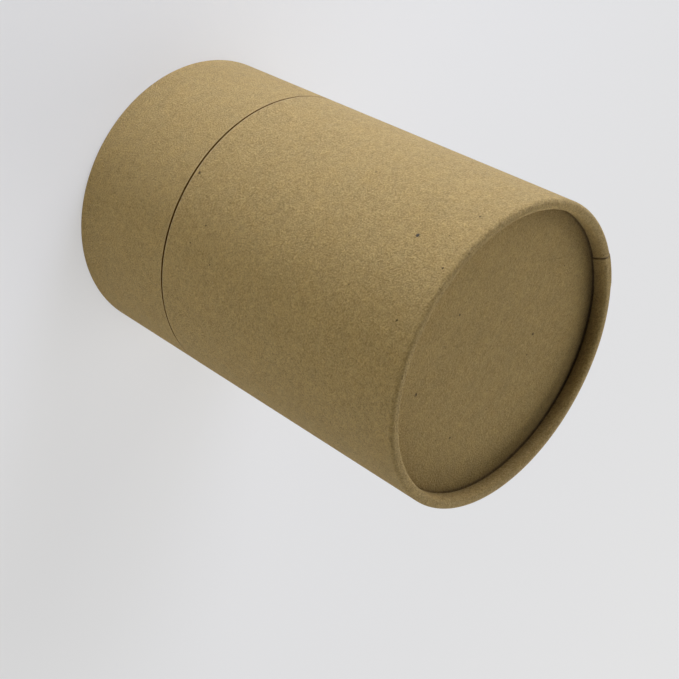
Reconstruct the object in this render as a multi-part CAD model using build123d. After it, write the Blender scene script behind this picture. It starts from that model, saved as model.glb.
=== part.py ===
from build123d import *
import os

# Cardboard tube with a slip lid, standing on the lid so that the base of the tube is on top.
# The tube and the lid are wound board shells of one diameter. The end of each shell is rolled inwards over
# itself, and the turned-in leg of that rolled rim is the stop for a flat board disc. A wound neck is glued
# inside the tube, from the base disc downwards. It reaches out of the tube's mouth and slips into the lid
# until it stands on the lid's disc, which leaves a hairline seam between the two mouths.
# The origin is the centre of the circle on which the lid's rim stands, and +Z runs along the axis.

# Driving dimensions, in millimetres
outer_diameter = 80.0    # over the tube and the lid, which are flush
lid_height = 35.8        # from the crest of the lid's rim to its mouth
tube_height = 81.8       # from the tube's mouth to the crest of its rim
seam_gap = 0.4           # left open between the two mouths with the lid on

# Shells: a wound wall, and the rolled rim that it turns into
shell_wall = 1.2         # thickness of the wall, in the rim too
fold_gap = 0.4           # hollow inside the rolled rim
rim_land = 0.6           # width of the flat crest on which a rim stands
recess_depth = 4.15      # from the crest of a rim to the end of its turned-in leg
cut_edge_round = 0.2     # rounding of the cut board at a mouth and at the end of a leg

# Discs, seated against the turned-in legs
disc_thickness = 1.8
disc_fit = 0.2           # clearance all round a disc inside its shell

# Neck, glued into the tube and sliding in the lid
neck_wall = 1.2
neck_fit = 0.2           # radial clearance of the neck in the tube and in the lid
neck_lead = 0.5          # rounding of the neck's free outer edge, which finds the lid

# Levels and radii that follow from them
outer_radius = outer_diameter / 2
bore_radius = outer_radius - shell_wall
neck_radius = bore_radius - neck_fit
tube_mouth = lid_height + seam_gap
overall_height = tube_mouth + tube_height
lid_disc_bottom = recess_depth
lid_disc_top = lid_disc_bottom + disc_thickness
base_disc_top = overall_height - recess_depth
base_disc_bottom = base_disc_top - disc_thickness


def rolled_rim_shell(height):
    """A shell whose cut mouth is at zero height and whose rim, rolled inwards, has its crest at the height."""
    leg_outer = bore_radius - fold_gap
    leg_inner = leg_outer - shell_wall
    leg_end = height - recess_depth
    corner = (outer_radius - leg_inner - rim_land) / 2
    shoulder = height - corner
    bend = fold_gap / 2
    bend_level = height - shell_wall - bend
    with BuildPart() as shell:
        with BuildSketch(Plane.XZ) as section:
            with BuildLine():
                Line((bore_radius, 0), (outer_radius, 0))
                wall = Line((outer_radius, 0), (outer_radius, shoulder))
                outer_corner = TangentArc(wall @ 1, (outer_radius - corner, height), tangent=wall % 1)
                land = Line(outer_corner @ 1, (leg_inner + corner, height))
                inner_corner = TangentArc(land @ 1, (leg_inner, shoulder), tangent=land % 1)
                leg = Line(inner_corner @ 1, (leg_inner, leg_end))
                leg_edge = Line(leg @ 1, (leg_outer, leg_end))
                leg_back = Line(leg_edge @ 1, (leg_outer, bend_level))
                fold = TangentArc(leg_back @ 1, (bore_radius, bend_level), tangent=leg_back % 1)
                Line(fold @ 1, (bore_radius, 0))
            make_face()
            mouth_corners, leg_corners = section.vertices().group_by(Axis.Y)[:2]
            fillet(mouth_corners + leg_corners, radius=cut_edge_round)
        revolve(axis=Axis.Z)
    return shell.part


def board_disc(bottom):
    """A flat board disc that lies inside a shell with its underside at the given level."""
    on_its_underside = (Align.CENTER, Align.CENTER, Align.MIN)
    return Pos(0, 0, bottom) * Cylinder(bore_radius - disc_fit, disc_thickness, align=on_its_underside)


def wound_neck():
    """The inner tube, from the lid's disc up to the base disc, with its free outer edge rounded."""
    with BuildPart() as neck:
        with BuildSketch(Plane.XY.offset(lid_disc_top)):
            Circle(neck_radius)
            Circle(neck_radius - neck_wall, mode=Mode.SUBTRACT)
        extrude(amount=base_disc_bottom - lid_disc_top)
        free_edges = neck.edges().filter_by(GeomType.CIRCLE).group_by(Axis.Z)[0]
        fillet(free_edges.sort_by(SortBy.RADIUS)[-1], radius=neck_lead)
    return neck.part


pieces = {
    "outer_tube": Pos(0, 0, tube_mouth) * rolled_rim_shell(tube_height),
    "base_disc": board_disc(base_disc_bottom),
    "neck_tube": wound_neck(),
    "lid_shell": Pos(0, 0, lid_height) * Rot(180, 0, 0) * rolled_rim_shell(lid_height),
    "lid_disc": board_disc(lid_disc_bottom),
}

os.makedirs("parts", exist_ok=True)
for name, piece in pieces.items():
    export_step(piece, f"parts/{name}.step")
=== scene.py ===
import math

import bpy
import numpy as np
from mathutils import Euler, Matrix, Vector


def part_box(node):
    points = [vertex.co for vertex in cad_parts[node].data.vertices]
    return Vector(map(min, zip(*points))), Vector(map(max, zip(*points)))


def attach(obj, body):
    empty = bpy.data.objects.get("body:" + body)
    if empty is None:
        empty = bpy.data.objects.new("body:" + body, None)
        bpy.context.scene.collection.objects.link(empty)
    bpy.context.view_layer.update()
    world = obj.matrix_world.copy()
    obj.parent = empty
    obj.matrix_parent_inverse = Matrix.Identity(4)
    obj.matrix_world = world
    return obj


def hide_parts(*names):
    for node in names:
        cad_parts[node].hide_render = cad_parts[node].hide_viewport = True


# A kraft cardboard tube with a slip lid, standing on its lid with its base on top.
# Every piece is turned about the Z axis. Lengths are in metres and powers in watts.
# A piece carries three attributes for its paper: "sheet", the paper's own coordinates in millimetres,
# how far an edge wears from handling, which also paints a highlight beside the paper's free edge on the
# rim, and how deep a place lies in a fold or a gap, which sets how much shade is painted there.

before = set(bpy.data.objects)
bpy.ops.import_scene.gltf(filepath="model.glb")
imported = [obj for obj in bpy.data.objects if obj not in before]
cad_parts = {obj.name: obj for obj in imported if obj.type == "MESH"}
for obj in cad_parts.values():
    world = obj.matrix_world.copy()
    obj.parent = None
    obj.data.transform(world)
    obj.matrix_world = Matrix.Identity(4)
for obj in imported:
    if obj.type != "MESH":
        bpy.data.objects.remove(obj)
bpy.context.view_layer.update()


def reach(node):
    """The largest radius of a solid about the tube's axis."""
    points = np.array([vertex.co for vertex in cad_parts[node].data.vertices])
    return float(np.hypot(points[:, 0], points[:, 1]).max())


# Sizes that the frame gives
outer_radius = reach("outer_tube")
disc_radius = reach("base_disc")
neck_radius = reach("neck_tube")
tube_mouth, tube_crest = (corner.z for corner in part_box("outer_tube"))
lid_crest, lid_mouth = (corner.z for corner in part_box("lid_shell"))
neck_end, neck_seat = (corner.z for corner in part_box("neck_tube"))
base_disc_back, base_disc_face = (corner.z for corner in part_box("base_disc"))
lid_disc_face, lid_disc_back = (corner.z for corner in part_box("lid_disc"))
recess_depth = tube_crest - base_disc_face
part_middle = Vector((0, 0, tube_crest / 2))

# Board and rim
shell_wall = 0.0012
fold_gap = 0.0004
rim_land = 0.0006
mouth_round = 0.00015
leg_gap = 0.0003                # between the end of a turned-in leg and the disc under it
leg_inner_round = 0.00035
leg_outer_round = 0.0003
neck_wall = 0.0012
neck_lead = 0.0005
neck_inner_round = 0.0002
disc_edge_round = 0.00025
bore_radius = outer_radius - shell_wall
leg_outer_radius = bore_radius - fold_gap
leg_inner_radius = leg_outer_radius - shell_wall
rim_corner = (outer_radius - leg_inner_radius - rim_land) / 2

# Mesh spacing
columns_round_shell = 640
columns_round_disc = 360
wall_spacing = 0.003
edge_spacing = 0.0003
flat_spacing = 0.0002
disc_spacing = 0.0015
bend_support = 0.00008          # from a bend to the first row on the straight beside it
corner_steps = 12
small_round_steps = 5

# Kraft face paper: its free edge lies over its own start, in a line along the wall and over the rim
wall_lap_lift = 0.00010
rim_lap_lift = 0.00013          # the edge springs up a little on the rolled rim
neck_lap_lift = 0.00004
lap_width = 0.009
lap_fade = 0.0025
lap_step = 0.00004              # width of the step down from the free edge
# Shade is painted into the lap's groove, and a highlight is painted on the rim beside it
wall_groove_width = 0.00022
rim_groove_width = 0.00042
lap_groove_depth = 0.00006
lap_dark_share = 0.5            # of the groove's width, dark right across
lap_groove_columns = 10
wall_groove_shade_share = 0.28
rim_groove_shade_share = 0.60
lap_highlight_width = 0.0007
lap_highlight_share = 0.8
lap_wander = 0.00012
lap_wander_length = 0.047
tube_lap_angle = math.radians(152.85)
lid_lap_angle = math.radians(83)
neck_lap_angle = math.radians(205)
bend_lead = math.radians(0.6)   # how far the paper turns forward over the rim
leg_drift = math.radians(1.95)  # how far it turns back as it is pulled down the leg

# Unevenness of the winding and of the rolled rim
shell_sway = 0.00004
neck_sway = 0.00002
crest_sway = 0.00002
lid_mouth_rise = 0.00028        # how much the seam closes at its two narrowest places
seam_wide_angle = math.radians(275)
pleat_depth = 0.00003
disc_bow = 0.00012
sway_waves = ((2, 1.0, 0.4), (3, 0.7, 2.1), (5, 0.4, 4.4), (9, 0.15, 1.2))
crest_waves = ((3, 1.0, 1.9), (4, 0.8, 0.3), (7, 0.6, 5.2), (11, 0.5, 2.7), (19, 0.3, 0.9))
pleat_waves = ((118, 1.0, 0.0), (73, 0.9, 1.3), (41, 0.8, 3.9))

# Handled edges, and the shade painted into the recess of a rim and into the seam
mouth_rub_width = 0.0009
crest_rub_share = 0.30
# The shade painted into the crevice is strongest at one angle round the rim and fades to its least share
# opposite
crevice_width = 0.0005
crevice_shade_angle = math.radians(95)
crevice_least_share = 0.35      # of the painted shade in the crevice, where it is faintest round the rim
leg_shade_share = 0.40
seat_shade_share = 0.42
seat_shade_width = 0.0025
mouth_shade_share = 0.85

# Colours
kraft_brown = (0.455, 0.317, 0.116)
neck_brown = (0.470, 0.335, 0.142)
inside_brown = (0.430, 0.305, 0.132)
cut_brown = (0.330, 0.195, 0.055)
# a paler colour for edges that wear from handling, also a highlight painted beside the paper's free edge
worn_and_highlight_brown = (0.560, 0.430, 0.225)
# the dark brown of the shade painted into folds and gaps, the rim's recess and the seam
painted_shade_brown = (0.060, 0.022, 0.001)
bark_brown = (0.060, 0.034, 0.010)
ink_dark = (0.030, 0.036, 0.038)

# Kraft paper: its patterns in repeats per millimetre of sheet, and the amounts that each finish uses
cloud_scale = 0.11
hue_scale = 0.22
mottle_scale = 0.55
grain_scale = 2.3
noise_mean = 0.5
coarse_detail = 1.0
fine_detail = 2.0
plain_roughness = 0.5
mottle_roughness = 0.6
grain_roughness = 0.75
fibre_stretch = (0.75, 7.0, 1.0)
light_fibre_turns = (8, 52, 97, 141)
dark_fibre_turns = (27, 74, 160)
light_fibre_shift = 17.3
dark_fibre_shift = 41.9
light_fibre_start = 0.12
dark_fibre_start = 0.14
fibre_softness = 0.12
tone_tint = (0.94, 1.0, 1.2)    # how strongly each colour follows the paper's lighter and darker places
hue_swing = (0.05, 0.0, -0.11)
mottle_relief_share = 0.15
fibre_relief_share = 0.12
grain_gloss_share = 0.3
paper_relief = 0.0006
paper_sheen = 0.06              # loose fibre ends that catch light from the side
paper_sheen_roughness = 0.45
paper_gloss = 0.15
inside_gloss = 0.10
shell_sheet = {"Cloud": 0.13, "Mottle": 0.46, "Grain": 1.45, "Fibres": 0.16, "Matt": 0.80}
disc_sheet = {"Cloud": 0.14, "Mottle": 0.36, "Grain": 1.20, "Fibres": 0.14, "Matt": 0.90}
neck_sheet = {"Cloud": 0.10, "Mottle": 0.22, "Grain": 0.60, "Fibres": 0.12, "Matt": 0.80}
inside_sheet = {"Cloud": 0.12, "Mottle": 0.25, "Grain": 1.00, "Fibres": 0.14, "Matt": 0.85}
cut_sheet = {"Cloud": 0.12, "Mottle": 0.30, "Grain": 1.20, "Fibres": 0.30, "Matt": 0.90}
ply_spacing_mm = 0.3
ply_waver_mm = 0.12
ply_waver_scale = 0.9
ply_line_start = 0.45           # of the wave across the plies, where a glue line begins
ply_dark_share = 0.6
sheet_seeds = {
    "tube": 11.0,
    "lid": 47.0,
    "neck": 71.0,
    "base_disc": 23.0,
    "lid_disc": 31.0,
    "inside": 3.0,
    "cut": 5.0,
}

# Rubbed edges with a highlight painted beside the paper's free edge, and the shade painted into creases,
# as each finish shows them
rub_scale = 0.8
rub_detail = 3.0
rub_roughness = 0.65
rub_start = 0.25
rub_full = 0.95
paper_wear_and_highlight_share = 0.55
inside_rub_share = 0.20
painted_shade_dark_share = 0.9
painted_shade_least_share = 0.8        # of a crease's darkness, where the paper is unevenly shaded
painted_shade_uneven_reach = 0.3

# Dark bark in the pulp: strewn specks in cells of the sheet, their radius as a share of a cell
speck_scale = 0.25
small_speck_share = 0.025
large_speck_share = 0.075
faint_speck_share = 0.25
dark_speck_share = 0.80
chosen_speck_share = 0.10
speck_core_share = 0.4          # of a speck's radius, dark right across
fleck_core_share = 0.35
fleck_dark_share = 0.9
fleck_radius_mm = 0.4
ragged_scale = 3.0
ragged_share = 1.2

# Single specks: the tube's as (degrees round, level, radius, colour), the disc's as (x, y, radius)
tube_specks = (
    (264.6, 0.0377, 0.00060, bark_brown),
    (250.5, 0.1045, 0.00066, ink_dark),
    (257.1, 0.1155, 0.00036, bark_brown),
    (278.0, 0.1120, 0.00046, bark_brown),
    (234.3, 0.1130, 0.00036, bark_brown),
    (280.0, 0.0480, 0.00034, bark_brown),
    (288.2, 0.0447, 0.00030, bark_brown),
)
disc_specks = (
    (-0.0086, 0.0110, 0.00058),
    (-0.0028, -0.0217, 0.00046),
    (0.0178, -0.0215, 0.00060),
    (0.0232, 0.0005, 0.00042),
    (-0.0035, 0.0134, 0.00034),
)

# Camera, fitted to the outline, the seam and the rim in the photograph
photo_pixels = 679
focal_pixels = 1352
principal_right_pixels = 11.3
principal_up_pixels = 12.6
sensor_width_mm = 36
camera_elevation = math.radians(36.96)
camera_roll = math.radians(119.04)
camera_depth = 0.35544
middle_right = -0.00363
middle_up = 0.01521
near_clip = 0.01

# Stage
floor_half = 12.0
floor_colour = (0.80, 0.80, 0.81)
floor_seen_colour = (0.40, 0.40, 0.397)
floor_glow_colour = (0.458, 0.458, 0.463)
world_colour = (0.80, 0.80, 0.82)
world_strength = 0.022
cool_light = (0.91, 1.0, 1.45)
plain_light = (1.0, 1.0, 1.0)

# Soft lights: name, degrees round, distance, level, width, height, degrees of spread, power, colour
softboxes = (
    ("key_panel", 195, 0.60, 0.100, 0.24, 0.11, 70, 0.36, cool_light),
    ("front_panel", 263, 0.60, 0.097, 0.60, 0.09, 70, 0.28, plain_light),
    ("right_wall", 30, 1.15, 0.45, 1.90, 0.75, 110, 3.6, plain_light),
    ("back_wall", 93, 1.10, 0.60, 1.90, 0.75, 110, 5.25, plain_light),
    ("side_box", 190, 1.00, 0.70, 0.80, 0.80, 180, 5.1, plain_light),
)

MILLIMETRES = 1000


def smooth_step(low, high, value):
    """0 at low, 1 at high, held beyond them, and an even rise between them."""
    share = np.clip((value - low) / (high - low), 0, 1)
    return share * share * (3 - 2 * share)


def uneven_wave(angle, waves):
    """A wave round the tube, between about -1 and 1, from (turns, weight, start) triples."""
    total = sum(weight * np.sin(turns * angle + start) for turns, weight, start in waves)
    return total / sum(weight for _, weight, _ in waves)


# Sections: runs of (radius, height) points, each with the name of the surface that it makes

def arc_run(centre, radius, start, end, steps):
    """Points of an arc from one angle, in degrees, up to the last before the other."""
    angles = np.radians(np.linspace(start, end, steps, endpoint=False))
    return np.column_stack([centre[0] + radius * np.cos(angles), centre[1] + radius * np.sin(angles)])


def straight_run(start, end, spacing):
    """Points from start up to the last before end, with one close to each end beside the bends."""
    start = np.array(start)
    end = np.array(end)
    length = float(np.linalg.norm(end - start))
    margin = min(bend_support, length / 4)
    inner = np.linspace(margin, length - margin, max(2, round(length / spacing)))
    shares = np.concatenate([[0], inner]) / length
    return start + np.outer(shares, end - start)


def rolled_rim_section(height):
    """A shell's section over its mouth: up the wall, over the rim, down the leg and back inside."""
    mouth_edge = mouth_round + mouth_rub_width
    shoulder = height - rim_corner
    land_start = (outer_radius - rim_corner, height)
    land_end = (leg_inner_radius + rim_corner, height)
    leg_end = height - recess_depth + leg_gap
    inner_centre = (leg_inner_radius + leg_inner_round, leg_end + leg_inner_round)
    outer_centre = (leg_outer_radius - leg_outer_round, leg_end + leg_outer_round)
    bend = fold_gap / 2
    bend_level = height - shell_wall - bend
    leg_top = (leg_inner_radius, shoulder)
    leg_foot = (leg_inner_radius, inner_centre[1])
    back_foot = (leg_outer_radius, outer_centre[1])
    back_top = (leg_outer_radius, bend_level)
    bore_centre = (bore_radius + mouth_round, mouth_round)
    mouth_centre = (outer_radius - mouth_round, mouth_round)
    return [
        ("wall", straight_run((outer_radius, mouth_round), (outer_radius, mouth_edge), edge_spacing)),
        ("wall", straight_run((outer_radius, mouth_edge), (outer_radius, shoulder), wall_spacing)),
        ("rim", arc_run((land_start[0], shoulder), rim_corner, 0, 90, corner_steps)),
        ("rim", straight_run(land_start, land_end, flat_spacing)),
        ("rim", arc_run((land_end[0], shoulder), rim_corner, 90, 180, corner_steps)),
        ("leg", straight_run(leg_top, leg_foot, edge_spacing)),
        ("leg", arc_run(inner_centre, leg_inner_round, 180, 270, small_round_steps)),
        ("leg_end", straight_run((inner_centre[0], leg_end), (outer_centre[0], leg_end), flat_spacing)),
        ("leg_end", arc_run(outer_centre, leg_outer_round, 270, 360, small_round_steps)),
        ("inside", straight_run(back_foot, back_top, edge_spacing)),
        ("inside", arc_run((leg_outer_radius + bend, bend_level), bend, 180, 0, small_round_steps)),
        ("inside", straight_run((bore_radius, bend_level), (bore_radius, mouth_round), wall_spacing)),
        ("mouth", arc_run(bore_centre, mouth_round, 180, 270, small_round_steps)),
        ("mouth", straight_run((bore_centre[0], 0), (mouth_centre[0], 0), flat_spacing)),
        ("mouth", arc_run(mouth_centre, mouth_round, 270, 360, small_round_steps)),
    ]


def neck_section():
    """The neck's section over its free end: up its wall, across its glued end and down inside."""
    length = neck_seat - neck_end
    bore = neck_radius - neck_wall
    lead_centre = (neck_radius - neck_lead, neck_lead)
    bore_centre = (bore + neck_inner_round, neck_inner_round)
    return [
        ("wall", straight_run((neck_radius, neck_lead), (neck_radius, length), wall_spacing)),
        ("glued_end", straight_run((neck_radius, length), (bore, length), flat_spacing)),
        ("inside", straight_run((bore, length), (bore, neck_inner_round), wall_spacing)),
        ("free_end", arc_run(bore_centre, neck_inner_round, 180, 270, small_round_steps)),
        ("free_end", straight_run((bore_centre[0], 0), (lead_centre[0], 0), flat_spacing)),
        ("free_end", arc_run(lead_centre, neck_lead, 270, 360, corner_steps)),
    ]


def section_points(runs):
    """A section's joined points, their outward normals, distances along it and surfaces."""
    points = np.vstack([run for _, run in runs])
    surfaces = np.array([surface for surface, run in runs for _ in run])
    ahead = np.roll(points, -1, axis=0) - points
    lengths = np.linalg.norm(ahead, axis=1)
    directions = ahead / lengths[:, None]
    tangents = directions + np.roll(directions, 1, axis=0)
    tangents /= np.linalg.norm(tangents, axis=1)[:, None]
    normals = np.column_stack([tangents[:, 1], -tangents[:, 0]])
    along = np.concatenate([[0], np.cumsum(lengths)[:-1]])
    return points, normals, along, surfaces


def crevice_shade_swing(angle):
    """How strongly the shade painted into the gap between a leg and its disc shows round the rim, up to
    1.
    """
    swing = (1 + np.cos(angle - crevice_shade_angle)) / 2
    return crevice_least_share + (1 - crevice_least_share) * swing


def recess_shade(points, surfaces, height, angles):
    """How much shade is painted at each point of a shell in a gap: down the leg, or across the mouth's
    cut.
    """
    leg_end = height - recess_depth + leg_gap
    down_leg = smooth_step(height - rim_corner, leg_end, points[:, 1])
    at_end = smooth_step(leg_end + crevice_width, leg_end, points[:, 1])
    on_leg = (leg_shade_share * down_leg + (1 - leg_shade_share) * at_end) * crevice_shade_swing(angles)
    inward = smooth_step(outer_radius, outer_radius - mouth_round, points[:, 0])
    across_mouth = mouth_shade_share * inward
    shade = np.where(surfaces == "leg", on_leg, 0)
    shade = np.where(surfaces == "leg_end", 1, shade)
    return np.where(surfaces == "mouth", across_mouth, shade)


# Meshes

def add_object(name, data):
    """A new object in the scene that holds a mesh, a light or a camera."""
    made = bpy.data.objects.new(name, data)
    bpy.context.scene.collection.objects.link(made)
    return made


def mesh_piece(name, points, faces, materials, face_materials, sheet, wear_and_highlight, painted_shade):
    """A smooth-shaded piece with its materials and its paper attributes."""
    mesh = bpy.data.meshes.new(name)
    mesh.from_pydata(points.tolist(), [], faces)
    for material in materials:
        mesh.materials.append(material)
    mesh.polygons.foreach_set("material_index", face_materials)
    mesh.polygons.foreach_set("use_smooth", [True] * len(mesh.polygons))
    sheet_layer = mesh.attributes.new("sheet", "FLOAT_VECTOR", "POINT")
    sheet_layer.data.foreach_set("vector", sheet.astype(np.float32).ravel())
    for layer_name, values in (("wear_and_highlight", wear_and_highlight), ("painted_shade", painted_shade)):
        layer = mesh.attributes.new(layer_name, "FLOAT", "POINT")
        layer.data.foreach_set("value", values.astype(np.float32).ravel())
    mesh.update()
    return add_object(name, mesh)


def grid_faces(columns, rows, rows_close):
    """Quads of a grid whose columns close on themselves, and whose rows do too where asked."""
    row_count = rows if rows_close else rows - 1
    column, row = np.meshgrid(np.arange(columns), np.arange(row_count), indexing="ij")
    beside = (column + 1) % columns
    above = (row + 1) % rows
    corners = [column * rows + row, beside * rows + row, beside * rows + above, column * rows + above]
    return np.stack(corners, axis=-1).reshape(-1, 4)


def lap_turns():
    """Angles round a shell past its paper's free edge: close in the groove, then evenly spaced."""
    groove = rim_groove_width / outer_radius
    in_groove = np.linspace(lap_step / outer_radius, groove, lap_groove_columns, endpoint=False)
    return np.concatenate([in_groove, np.linspace(groove, 2 * math.pi, columns_round_shell)])


def wound_shell(name, runs, mouth, direction, lap_angle, lap_lift, sway, mouth_rise, materials):
    """A wound shell turned from its section, with the lap of its paper at one angle.

    The section's heights run up from the mouth's level, or down from it where the direction is -1.
    The materials are those of the face, the inside and the cut edges."""
    points, normals, along, surfaces = section_points(runs)
    radii, heights = points.T
    height = heights.max()
    on_face = np.isin(surfaces, ("wall", "rim", "leg"))
    rolled = "rim" in surfaces
    rim_share = rolled * on_face * smooth_step(height - recess_depth, height, heights)
    leg_share = rolled * on_face * smooth_step(outer_radius - shell_wall, leg_inner_radius, radii)
    folded_share = np.maximum(rim_share, leg_share)
    foot_share = leg_share * (1 - rim_share)
    turns = lap_turns()
    past_edge = turns[:, None] * outer_radius
    before_edge = (2 * math.pi - turns[:, None]) * outer_radius

    lift = lap_lift + (rim_lap_lift - lap_lift) * folded_share
    groove_width = wall_groove_width + (rim_groove_width - wall_groove_width) * folded_share
    lap_share = 1 - smooth_step(lap_width, lap_width + lap_fade, before_edge)
    groove_share = 1 - smooth_step(lap_dark_share, 1, past_edge / groove_width)
    rise = on_face * (lift * lap_share - lap_groove_depth * groove_share)
    rise = rise - np.outer(np.abs(uneven_wave(turns, pleat_waves)), pleat_depth * leg_share)
    swayed = sway * uneven_wave(turns, sway_waves)[:, None]
    settled = crest_sway * np.outer(uneven_wave(turns, crest_waves) - 1, rim_share)
    wander = lap_wander / outer_radius * np.sin(2 * math.pi * heights / lap_wander_length)
    pulled = wander + bend_lead * leg_share - leg_drift * foot_share
    angles = direction * (turns[:, None] + pulled) + lap_angle
    mouth_share = (1 - smooth_step(0, wall_spacing, heights)) * np.sin(angles - seam_wide_angle) ** 2
    radius = radii + swayed + rise * normals[:, 0]
    level = np.minimum(heights + settled + rise * normals[:, 1], height) - mouth_rise * mouth_share
    places = [radius * np.cos(angles), radius * np.sin(angles), mouth + direction * level]
    placed = np.stack(places, axis=-1).reshape(-1, 3)

    rows = len(points)
    arc = np.repeat(past_edge, rows, axis=1)
    run = np.repeat(along[None, :], len(turns), axis=0)
    sheet = np.stack([arc, run, np.zeros_like(run)], axis=-1) * MILLIMETRES
    # Edges wear at the mouth and on the crest; on the rim beside the paper's free edge a highlight is
    # painted
    mouth_rub = rolled * (1 - smooth_step(0, mouth_rub_width, heights))
    lap_edge = 1 - smooth_step(0, lap_highlight_width, before_edge)
    past_groove = 1 - smooth_step(rim_groove_width, rim_groove_width + lap_highlight_width, past_edge)
    lap_highlight = lap_highlight_share * rim_share * np.maximum(lap_edge, past_groove)
    wear_and_highlight = np.maximum(lap_highlight, np.maximum(mouth_rub, crest_rub_share * rim_share))
    # Shade painted into the lap's groove, darker on the rolled rim than on the wall
    shade_gain = rim_groove_shade_share - wall_groove_shade_share
    groove_shade = wall_groove_shade_share + shade_gain * folded_share
    painted_shade = on_face * groove_share * groove_shade
    # Shade painted down the leg into the recess and across the mouth's cut in the seam
    if rolled:
        painted_shade = np.maximum(painted_shade, recess_shade(points, surfaces, height, angles))

    faces = grid_faces(len(turns), rows, True)
    row_materials = np.where(on_face, 0, np.where(surfaces == "inside", 1, 2))
    face_materials = np.tile(row_materials, len(turns))
    return mesh_piece(name, placed, faces.tolist(), materials, face_materials, sheet, wear_and_highlight, painted_shade)


def board_disc(name, face_level, back_level, material):
    """A flat board disc with softened cut edges and a slight bow, between its face and its back."""
    facing = math.copysign(1, face_level - back_level)
    thickness = abs(face_level - back_level)
    flat_radius = disc_radius - disc_edge_round
    back_edge = disc_edge_round - thickness
    shade_start = leg_inner_radius - seat_shade_width
    inner_count = round(shade_start / disc_spacing)
    inner_rings = np.linspace(disc_spacing, shade_start, inner_count, endpoint=False)
    outer_rings = np.arange(shade_start, flat_radius, flat_spacing)
    rings = np.concatenate([inner_rings, outer_rings])
    section = np.vstack([
        np.column_stack([rings, np.zeros_like(rings)]),
        arc_run((flat_radius, -disc_edge_round), disc_edge_round, 90, 0, small_round_steps),
        straight_run((disc_radius, -disc_edge_round), (disc_radius, back_edge), flat_spacing),
        arc_run((flat_radius, back_edge), disc_edge_round, 0, -90, small_round_steps),
        np.column_stack([rings[::-1], np.full_like(rings, -thickness)]),
    ])
    turns = np.linspace(0, 2 * math.pi, columns_round_disc, endpoint=False)
    bow = disc_bow * (1 - smooth_step(0, leg_inner_radius, section[:, 0]))
    level = np.repeat((face_level + facing * (section[:, 1] - bow))[None, :], len(turns), axis=0)
    angles = facing * turns[:, None]
    places = [section[:, 0] * np.cos(angles), section[:, 0] * np.sin(angles), level]
    placed = np.stack(places, axis=-1).reshape(-1, 3)
    face_centre = len(placed)
    back_centre = face_centre + 1
    centres = [[0, 0, face_level - facing * disc_bow], [0, 0, back_level - facing * disc_bow]]
    points = np.vstack([placed, centres])

    rows = len(section)
    faces = grid_faces(len(turns), rows, False)[:, ::-1].tolist()
    for column in range(len(turns)):
        here = column * rows
        beside = (column + 1) % len(turns) * rows
        faces.append([face_centre, here, beside])
        faces.append([back_centre, beside + rows - 1, here + rows - 1])
    radius = np.hypot(points[:, 0], points[:, 1])
    # Shade painted on the disc round its seat under the leg, darkest in the crevice, and stronger at one
    # side of the rim
    crevice = smooth_step(leg_inner_radius - crevice_width, leg_inner_radius, radius)
    around = smooth_step(shade_start, leg_inner_radius, radius)
    crevice_swing = crevice_shade_swing(np.arctan2(points[:, 1], points[:, 0]))
    painted_shade = (seat_shade_share * around + (1 - seat_shade_share) * crevice) * crevice_swing
    sheet = points * MILLIMETRES
    no_wear_and_highlight = np.zeros(len(points))
    face_materials = [0] * len(faces)
    return mesh_piece(name, points, faces, [material], face_materials, sheet, no_wear_and_highlight, painted_shade)


# Node building

def set_sockets(tree, node, sockets):
    """Sets a node's inputs to values, or links them to other nodes' outputs."""
    for key, value in sockets.items():
        if isinstance(value, bpy.types.NodeSocket):
            tree.links.new(value, node.inputs[key])
        else:
            node.inputs[key].default_value = value


def add_node(tree, kind, sockets=None, **settings):
    """A node with its settings and its inputs."""
    node = tree.nodes.new(kind)
    for name, value in settings.items():
        setattr(node, name, value)
    set_sockets(tree, node, sockets or {})
    return node


def calculate(tree, operation, first, second=0.0, third=0.0, clamp=False):
    """The output of a Math node."""
    sockets = {0: first, 1: second, 2: third}
    return add_node(tree, "ShaderNodeMath", sockets, operation=operation, use_clamp=clamp).outputs[0]


def vector_calculate(tree, operation, first, second, third=(0, 0, 0)):
    """The output of a Vector Math node."""
    sockets = {0: first, 1: second, 2: third}
    return add_node(tree, "ShaderNodeVectorMath", sockets, operation=operation).outputs[0]


def scale_vector(tree, vector, amount):
    """A vector or a colour times an amount."""
    sockets = {0: vector, "Scale": amount}
    return add_node(tree, "ShaderNodeVectorMath", sockets, operation="SCALE").outputs[0]


def carry(tree, value, low, high, to_low=0.0, to_high=1.0):
    """A value carried smoothly from one range to another and held at its ends."""
    sockets = {"Value": value, "From Min": low, "From Max": high, "To Min": to_low, "To Max": to_high}
    node = add_node(tree, "ShaderNodeMapRange", sockets, interpolation_type="SMOOTHSTEP")
    return node.outputs["Result"]


def noise(tree, vector, scale, detail, roughness=plain_roughness):
    """A noise texture's value about its mean, from about -0.5 to 0.5."""
    sockets = {"Vector": vector, "Scale": scale, "Detail": detail, "Roughness": roughness}
    value = add_node(tree, "ShaderNodeTexNoise", sockets, noise_dimensions="3D").outputs["Fac"]
    return calculate(tree, "SUBTRACT", value, noise_mean)


def mix_colours(tree, share, first, second):
    """Two colours mixed by a share of the second."""
    return add_node(tree, "ShaderNodeMix", {0: share, 6: first, 7: second}, data_type="RGBA").outputs[2]


def new_group(name, inputs, outputs):
    """An empty shader node group with named sockets, and the ends of it to be linked."""
    group = bpy.data.node_groups.new(name, "ShaderNodeTree")
    for socket, kind, value in inputs:
        made = group.interface.new_socket(socket, in_out="INPUT", socket_type=kind)
        if value is not None:
            made.default_value = value
    for socket, kind in outputs:
        group.interface.new_socket(socket, in_out="OUTPUT", socket_type=kind)
    given = group.nodes.new("NodeGroupInput").outputs
    result = group.nodes.new("NodeGroupOutput").inputs
    return group, given, result


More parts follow.
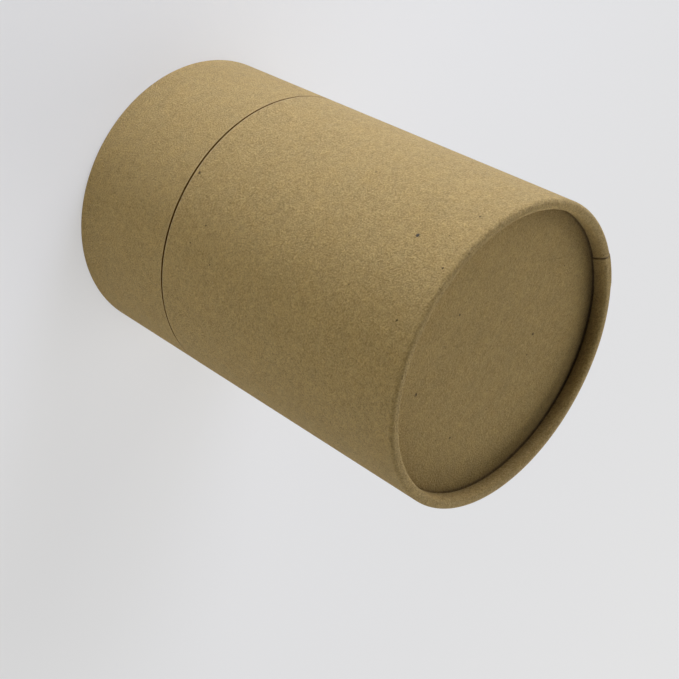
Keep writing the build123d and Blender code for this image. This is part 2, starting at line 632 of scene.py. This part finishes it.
def place_group(tree, group, sockets):
    """The outputs of a node group placed in a material with its own values."""
    node = add_node(tree, "ShaderNodeGroup", node_tree=group)
    set_sockets(tree, node, sockets)
    return node.outputs


# Effects that several finishes share

def lay_fibres(group, sheet, turns, shift, start):
    """Short fibres lying at several angles on the sheet, as a value that is 1 on a fibre."""
    fibres = None
    for number, turn in enumerate(turns):
        sockets = {"Vector": sheet, "Angle": math.radians(turn)}
        turned = add_node(group, "ShaderNodeVectorRotate", sockets, rotation_type="Z_AXIS").outputs[0]
        moved = vector_calculate(group, "ADD", turned, (shift * number, shift / 2, shift))
        stretched = vector_calculate(group, "MULTIPLY", moved, fibre_stretch)
        layer = carry(group, noise(group, stretched, 1.0, coarse_detail), start, start + fibre_softness)
        fibres = layer if fibres is None else calculate(group, "MAXIMUM", fibres, layer)
    return fibres


def make_kraft_sheet():
    """Kraft paper: cloudy formation, mottle, grain and fibres, as a colour, a height and a roughness."""
    group, given, result = new_group(
        "kraft_sheet",
        [
            ("Sheet", "NodeSocketVector", None),
            ("Seed", "NodeSocketFloat", 0.0),
            ("Colour", "NodeSocketColor", (*kraft_brown, 1)),
            ("Cloud", "NodeSocketFloat", shell_sheet["Cloud"]),
            ("Mottle", "NodeSocketFloat", shell_sheet["Mottle"]),
            ("Grain", "NodeSocketFloat", shell_sheet["Grain"]),
            ("Fibres", "NodeSocketFloat", shell_sheet["Fibres"]),
            ("Matt", "NodeSocketFloat", shell_sheet["Matt"]),
        ],
        [("Colour", "NodeSocketColor"), ("Height", "NodeSocketFloat"), ("Roughness", "NodeSocketFloat")],
    )
    shift = add_node(group, "ShaderNodeCombineXYZ", {"Z": given["Seed"]}).outputs[0]
    sheet = vector_calculate(group, "ADD", given["Sheet"], shift)
    cloud = noise(group, sheet, cloud_scale, fine_detail)
    mottle = noise(group, sheet, mottle_scale, fine_detail, mottle_roughness)
    grain = noise(group, sheet, grain_scale, fine_detail, grain_roughness)
    hue = noise(group, sheet, hue_scale, coarse_detail)
    light_fibres = lay_fibres(group, sheet, light_fibre_turns, light_fibre_shift, light_fibre_start)
    dark_fibres = lay_fibres(group, sheet, dark_fibre_turns, dark_fibre_shift, dark_fibre_start)
    fibres = calculate(group, "SUBTRACT", light_fibres, dark_fibres)

    tone = calculate(group, "MULTIPLY", cloud, given["Cloud"])
    for layer, amount in ((mottle, "Mottle"), (grain, "Grain"), (fibres, "Fibres")):
        tone = calculate(group, "MULTIPLY_ADD", layer, given[amount], tone)
    lightness = vector_calculate(group, "ADD", scale_vector(group, tone_tint, tone), (1, 1, 1))
    tint = vector_calculate(group, "ADD", scale_vector(group, hue_swing, hue), lightness)
    colour = vector_calculate(group, "MULTIPLY", given["Colour"], tint)

    height = calculate(group, "MULTIPLY_ADD", mottle, mottle_relief_share, grain)
    height = calculate(group, "MULTIPLY_ADD", light_fibres, fibre_relief_share, height)
    roughness = calculate(group, "MULTIPLY_ADD", grain, -grain_gloss_share, given["Matt"], clamp=True)
    group.links.new(colour, result["Colour"])
    group.links.new(height, result["Height"])
    group.links.new(roughness, result["Roughness"])
    return group


def make_bark_specks():
    """Small dark specks of bark strewn over a sheet, mixed into its colour."""
    group, given, result = new_group(
        "bark_specks",
        [
            ("Sheet", "NodeSocketVector", None),
            ("Seed", "NodeSocketFloat", 0.0),
            ("Colour", "NodeSocketColor", (*kraft_brown, 1)),
            ("Share", "NodeSocketFloat", chosen_speck_share),
        ],
        [("Colour", "NodeSocketColor")],
    )
    shift = add_node(group, "ShaderNodeCombineXYZ", {"X": given["Seed"], "Y": given["Seed"]}).outputs[0]
    sheet = vector_calculate(group, "ADD", given["Sheet"], shift)
    sockets = {"Vector": sheet, "Scale": speck_scale}
    cells = add_node(group, "ShaderNodeTexVoronoi", sockets, voronoi_dimensions="2D").outputs
    picks = add_node(group, "ShaderNodeSeparateColor", {0: cells["Color"]}).outputs
    chosen = calculate(group, "LESS_THAN", picks[0], given["Share"])
    radius = carry(group, picks[1], 0.0, 1.0, small_speck_share, large_speck_share)
    closeness = calculate(group, "DIVIDE", cells["Distance"], radius)
    spot = carry(group, closeness, speck_core_share, 1.0, 1.0, 0.0)
    depth = carry(group, picks[2], 0.0, 1.0, faint_speck_share, dark_speck_share)
    mask = calculate(group, "MULTIPLY", calculate(group, "MULTIPLY", chosen, spot), depth)
    group.links.new(mix_colours(group, mask, given["Colour"], (*bark_brown, 1)), result["Colour"])
    return group


def make_single_speck():
    """One dark fleck at a place on a sheet, ragged at its edge, mixed into the sheet's colour."""
    group, given, result = new_group(
        "single_speck",
        [
            ("Sheet", "NodeSocketVector", None),
            ("Place", "NodeSocketVector", None),
            ("Radius", "NodeSocketFloat", fleck_radius_mm),
            ("Colour", "NodeSocketColor", (*kraft_brown, 1)),
            ("Fleck", "NodeSocketColor", (*bark_brown, 1)),
        ],
        [("Colour", "NodeSocketColor")],
    )
    sockets = {0: given["Sheet"], 1: given["Place"]}
    away = add_node(group, "ShaderNodeVectorMath", sockets, operation="DISTANCE").outputs["Value"]
    closeness = calculate(group, "DIVIDE", away, given["Radius"])
    uneven = noise(group, given["Sheet"], ragged_scale, coarse_detail)
    ragged = calculate(group, "MULTIPLY_ADD", uneven, ragged_share, closeness)
    mask = carry(group, ragged, fleck_core_share, 1.0, fleck_dark_share, 0.0)
    group.links.new(mix_colours(group, mask, given["Colour"], given["Fleck"]), result["Colour"])
    return group


def make_wear_and_highlight_mix():
    """Paler broken patches where the value is high: edge wear from handling, and a painted highlight by
    the lap.
    """
    group, given, result = new_group(
        "wear_and_highlight_mix",
        [
            ("Sheet", "NodeSocketVector", None),
            ("Wear And Highlight", "NodeSocketFloat", 0.0),
            ("Colour", "NodeSocketColor", (*kraft_brown, 1)),
            ("Worn And Highlight", "NodeSocketColor", (*worn_and_highlight_brown, 1)),
            ("Amount", "NodeSocketFloat", paper_wear_and_highlight_share),
        ],
        [("Colour", "NodeSocketColor")],
    )
    broken = noise(group, given["Sheet"], rub_scale, rub_detail, rub_roughness)
    patch = calculate(group, "ADD", given["Wear And Highlight"], broken)
    mask = calculate(group, "MULTIPLY", carry(group, patch, rub_start, rub_full), given["Amount"])
    group.links.new(mix_colours(group, mask, given["Colour"], given["Worn And Highlight"]), result["Colour"])
    return group


def make_painted_shade_mix():
    """Painted shade in folds and gaps: the paper sinks to a dark brown, a little unevenly, where a place
    lies deep.
    """
    group, given, result = new_group(
        "painted_shade_mix",
        [
            ("Sheet", "NodeSocketVector", None),
            ("Painted Shade", "NodeSocketFloat", 0.0),
            ("Colour", "NodeSocketColor", (*kraft_brown, 1)),
            ("Depth", "NodeSocketFloat", painted_shade_dark_share),
        ],
        [("Colour", "NodeSocketColor")],
    )
    broken = noise(group, given["Sheet"], rub_scale, fine_detail)
    uneven = carry(group, broken, -painted_shade_uneven_reach, painted_shade_uneven_reach, painted_shade_least_share, 1.0)
    depth = calculate(group, "MULTIPLY", given["Depth"], uneven)
    mask = calculate(group, "MULTIPLY", given["Painted Shade"], depth)
    group.links.new(mix_colours(group, mask, given["Colour"], (*painted_shade_brown, 1)), result["Colour"])
    return group


kraft_sheet = make_kraft_sheet()
bark_specks = make_bark_specks()
single_speck = make_single_speck()
wear_and_highlight_mix = make_wear_and_highlight_mix()
painted_shade_mix = make_painted_shade_mix()


# Finishes

def paper_finish(name, colour, seed, sheet_values,
                 wear_and_highlight=paper_wear_and_highlight_share, flecks=(), gloss=paper_gloss, sheen=0.0):
    """A matt paper finish that follows the piece's sheet, with its own values for the shared effects.

    The flecks are (place on the sheet, radius, colour) triples in millimetres."""
    material = bpy.data.materials.new(name)
    material.use_nodes = True
    tree = material.node_tree
    shader = tree.nodes["Principled BSDF"]
    sheet = add_node(tree, "ShaderNodeAttribute", attribute_name="sheet").outputs["Vector"]
    wear_and_highlight_value = add_node(tree, "ShaderNodeAttribute", attribute_name="wear_and_highlight").outputs["Fac"]
    painted_shade = add_node(tree, "ShaderNodeAttribute", attribute_name="painted_shade").outputs["Fac"]
    sheet_inputs = {"Sheet": sheet, "Seed": seed, "Colour": (*colour, 1), **sheet_values}
    kraft = place_group(tree, kraft_sheet, sheet_inputs)
    speck_inputs = {"Sheet": sheet, "Seed": seed, "Colour": kraft["Colour"]}
    specked = place_group(tree, bark_specks, speck_inputs)["Colour"]
    for place, radius, fleck in flecks:
        fleck_inputs = {
            "Sheet": sheet,
            "Place": place,
            "Radius": radius,
            "Colour": specked,
            "Fleck": (*fleck, 1),
        }
        specked = place_group(tree, single_speck, fleck_inputs)["Colour"]
    # Paler edges from handling, with a highlight painted beside the paper's free edge
    wear_and_highlight_inputs = {"Sheet": sheet, "Wear And Highlight": wear_and_highlight_value, "Colour": specked, "Amount": wear_and_highlight}
    with_wear_and_highlight = place_group(tree, wear_and_highlight_mix, wear_and_highlight_inputs)["Colour"]
    # Shade painted into folds and gaps, towards a dark brown
    painted_shade_inputs = {"Sheet": sheet, "Painted Shade": painted_shade, "Colour": with_wear_and_highlight}
    shaded = place_group(tree, painted_shade_mix, painted_shade_inputs)["Colour"]
    relief = add_node(tree, "ShaderNodeBump", {"Height": kraft["Height"], "Distance": paper_relief})
    tree.links.new(shaded, shader.inputs["Base Color"])
    tree.links.new(kraft["Roughness"], shader.inputs["Roughness"])
    tree.links.new(relief.outputs["Normal"], shader.inputs["Normal"])
    shader.inputs["Specular IOR Level"].default_value = gloss
    shader.inputs["Sheen Weight"].default_value = sheen
    shader.inputs["Sheen Roughness"].default_value = paper_sheen_roughness
    return material


def cut_board_finish():
    """The cut edge of the wound board, with the lines of its plies."""
    material = paper_finish("cut_board", cut_brown, sheet_seeds["cut"], cut_sheet, wear_and_highlight=0.0, gloss=0.0)
    tree = material.node_tree
    shader = tree.nodes["Principled BSDF"]
    sheet = add_node(tree, "ShaderNodeAttribute", attribute_name="sheet").outputs["Vector"]
    across = add_node(tree, "ShaderNodeSeparateXYZ", {0: sheet}).outputs["Y"]
    uneven = noise(tree, sheet, ply_waver_scale, fine_detail)
    wavering = calculate(tree, "MULTIPLY_ADD", uneven, ply_waver_mm, across)
    line = calculate(tree, "SINE", calculate(tree, "MULTIPLY", wavering, 2 * math.pi / ply_spacing_mm))
    darkness = carry(tree, line, ply_line_start, 1.0, 1.0, ply_dark_share)
    coloured = shader.inputs["Base Color"].links[0].from_socket
    tree.links.new(scale_vector(tree, coloured, darkness), shader.inputs["Base Color"])
    return material


def tube_flecks():
    """The tube's specks, placed on its sheet."""
    flecks = []
    for degrees, level, radius, colour in tube_specks:
        arc = (math.radians(degrees) - tube_lap_angle) % (2 * math.pi) * outer_radius
        run = level - tube_mouth - mouth_round
        flecks.append(((arc * MILLIMETRES, run * MILLIMETRES, 0), radius * MILLIMETRES, colour))
    return flecks


def disc_flecks():
    """The base disc's specks, placed on its face."""
    level = base_disc_face - disc_bow
    return [
        ((x * MILLIMETRES, y * MILLIMETRES, level * MILLIMETRES), radius * MILLIMETRES, bark_brown)
        for x, y, radius in disc_specks
    ]


# Pieces

def make_pieces():
    """The five pieces of the tube, each in the place of its solid."""
    seeds = sheet_seeds
    inside_paper = paper_finish("inside_kraft", inside_brown, seeds["inside"], inside_sheet,
                                wear_and_highlight=inside_rub_share, gloss=inside_gloss)
    cut_board = cut_board_finish()
    tube_paper = paper_finish("tube_kraft", kraft_brown, seeds["tube"], shell_sheet,
                              flecks=tube_flecks(), sheen=paper_sheen)
    lid_paper = paper_finish("lid_kraft", kraft_brown, seeds["lid"], shell_sheet, sheen=paper_sheen)
    neck_paper = paper_finish("neck_kraft", neck_brown, seeds["neck"], neck_sheet, gloss=inside_gloss)
    base_paper = paper_finish("base_disc_kraft", kraft_brown, seeds["base_disc"], disc_sheet,
                              flecks=disc_flecks(), sheen=paper_sheen)
    lid_disc_paper = paper_finish("lid_disc_kraft", kraft_brown, seeds["lid_disc"], disc_sheet,
                                  sheen=paper_sheen)

    tube_runs = rolled_rim_section(tube_crest - tube_mouth)
    lid_runs = rolled_rim_section(lid_mouth - lid_crest)
    tube = wound_shell("outer_tube_wound", tube_runs, tube_mouth, 1,
                       tube_lap_angle, wall_lap_lift, shell_sway, 0,
                       [tube_paper, inside_paper, cut_board])
    lid = wound_shell("lid_shell_wound", lid_runs, lid_mouth, -1,
                      lid_lap_angle, wall_lap_lift, shell_sway, lid_mouth_rise,
                      [lid_paper, inside_paper, cut_board])
    neck = wound_shell("neck_tube_wound", neck_section(), neck_end, 1,
                       neck_lap_angle, neck_lap_lift, neck_sway, 0,
                       [neck_paper, inside_paper, cut_board])
    base_disc = board_disc("base_disc_board", base_disc_face, base_disc_back, base_paper)
    lid_disc = board_disc("lid_disc_board", lid_disc_face, lid_disc_back, lid_disc_paper)
    for piece, body, slot, node in (
        (tube, "tube", "kraft_shell", "outer_tube"),
        (base_disc, "tube", "kraft_disc", "base_disc"),
        (neck, "tube", "kraft_neck", "neck_tube"),
        (lid, "lid", "kraft_shell", "lid_shell"),
        (lid_disc, "lid", "kraft_disc", "lid_disc"),
    ):
        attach(piece, body)
        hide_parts(node)


# Stage

def seen_directly(tree):
    """1 for rays from the camera and in reflections, 0 for the light that falls on the tube."""
    rays = add_node(tree, "ShaderNodeLightPath").outputs
    return calculate(tree, "MAXIMUM", rays["Is Camera Ray"], rays["Is Glossy Ray"])


def make_floor():
    """A plain pale floor under the lid's rim, seen paler than it lights the tube."""
    signs = ((-1, -1), (1, -1), (1, 1), (-1, 1))
    corners = [(x * floor_half, y * floor_half, lid_crest) for x, y in signs]
    mesh = bpy.data.meshes.new("floor")
    mesh.from_pydata(corners, [], [(0, 1, 2, 3)])
    floor = add_object("floor", mesh)
    material = bpy.data.materials.new("floor_paper")
    material.use_nodes = True
    tree = material.node_tree
    tree.nodes.remove(tree.nodes["Principled BSDF"])
    seen = seen_directly(tree)
    colour = mix_colours(tree, seen, (*floor_colour, 1), (*floor_seen_colour, 1))
    matt = add_node(tree, "ShaderNodeBsdfDiffuse", {"Color": colour}).outputs[0]
    glow_inputs = {"Color": (*floor_glow_colour, 1), "Strength": seen}
    glow = add_node(tree, "ShaderNodeEmission", glow_inputs).outputs[0]
    both = add_node(tree, "ShaderNodeAddShader", {0: matt, 1: glow}).outputs[0]
    tree.links.new(both, tree.nodes["Material Output"].inputs["Surface"])
    mesh.materials.append(material)


def make_world():
    """Even dim light from all round, seen as a backdrop of the far floor's own tone."""
    world = bpy.data.worlds.new("studio")
    world.use_nodes = True
    tree = world.node_tree
    dim = tree.nodes["Background"]
    set_sockets(tree, dim, {"Color": (*world_colour, 1), "Strength": world_strength})
    pale = add_node(tree, "ShaderNodeBackground", {"Color": (*floor_glow_colour, 1)}).outputs[0]
    seen = seen_directly(tree)
    both = add_node(tree, "ShaderNodeMixShader", {0: seen, 1: dim.outputs[0], 2: pale}).outputs[0]
    tree.links.new(both, tree.nodes["World Output"].inputs["Surface"])
    bpy.context.scene.world = world


def add_softbox(name, azimuth, distance, level, width, height, spread, power, colour):
    """A soft light that faces the tube's middle, placed by its degrees round from +X and its level."""
    light = bpy.data.lights.new(name, "AREA")
    light.shape = "RECTANGLE"
    light.size = width
    light.size_y = height
    light.spread = math.radians(spread)
    light.energy = power
    light.color = colour
    lamp = add_object(name, light)
    angle = math.radians(azimuth)
    lamp.location = (distance * math.cos(angle), distance * math.sin(angle), level)
    lamp.rotation_euler = (lamp.location - part_middle).to_track_quat("Z", "Y").to_euler()
    lamp.visible_camera = False


def make_camera():
    """The camera that sees the part as the photograph does: from -Y, above, and rolled on its side."""
    data = bpy.data.cameras.new("camera")
    data.sensor_width = sensor_width_mm
    data.lens = sensor_width_mm * focal_pixels / photo_pixels
    data.shift_x = -principal_right_pixels / photo_pixels
    data.shift_y = -principal_up_pixels / photo_pixels
    data.clip_start = near_clip
    camera = add_object("camera", data)
    rotation = Euler((math.pi / 2 - camera_elevation, 0, 0)).to_matrix()
    rotation = rotation @ Euler((0, 0, camera_roll)).to_matrix()
    right, up, back = (rotation.col[axis] for axis in range(3))
    camera.location = part_middle - right * middle_right - up * middle_up + back * camera_depth
    camera.rotation_euler = rotation.to_euler()
    bpy.context.scene.camera = camera


make_pieces()
make_floor()
make_world()
for softbox in softboxes:
    add_softbox(*softbox)
make_camera()

bpy.context.scene.view_settings.view_transform = "Standard"
